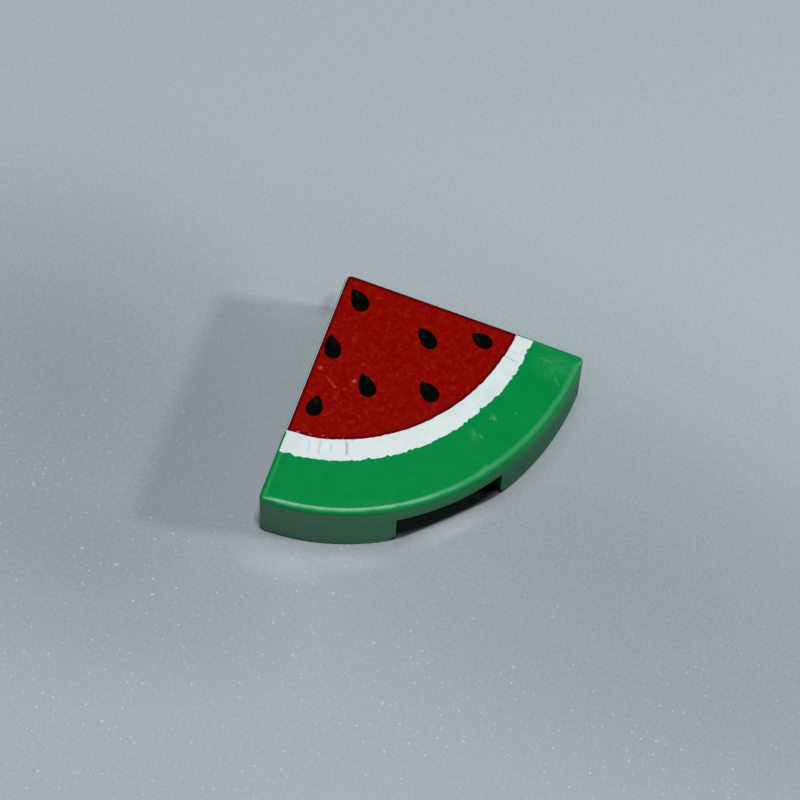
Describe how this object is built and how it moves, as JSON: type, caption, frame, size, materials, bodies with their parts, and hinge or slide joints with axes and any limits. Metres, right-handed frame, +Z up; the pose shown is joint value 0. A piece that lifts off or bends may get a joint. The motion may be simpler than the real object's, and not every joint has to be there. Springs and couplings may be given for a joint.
{
  "type": "quarter-round flat tile printed as a watermelon wedge",
  "caption": "Green plastic quarter-round flat tile with a stud socket underneath and a notched curved wall; its top is printed as a watermelon wedge with red flesh, black seeds and white band.",
  "frame": {"origin": "axis of the stud that the tile presses onto, at the rim that rests on the surface: the bottom centre of the tile's square outline", "axes": "+Z up through the printed top; the straight sides face -X and +Y and meet at the wedge's point; the curved side bulges towards +X and -Y"},
  "size_m": [0.0078, 0.0078, 0.0032],
  "materials": {
    "green_plastic": "glossy moulded plastic with light handling scratches",
    "white_ink": "thin satin ink film printed on the top, slightly cracked",
    "red_ink": "thin satin ink film printed on the top, slightly mottled",
    "black_ink": "thin satin ink film, the seeds printed over the red"
  },
  "bodies": {
    "root": {"quarter_tile": "green_plastic"}
  },
  "joints": []
}
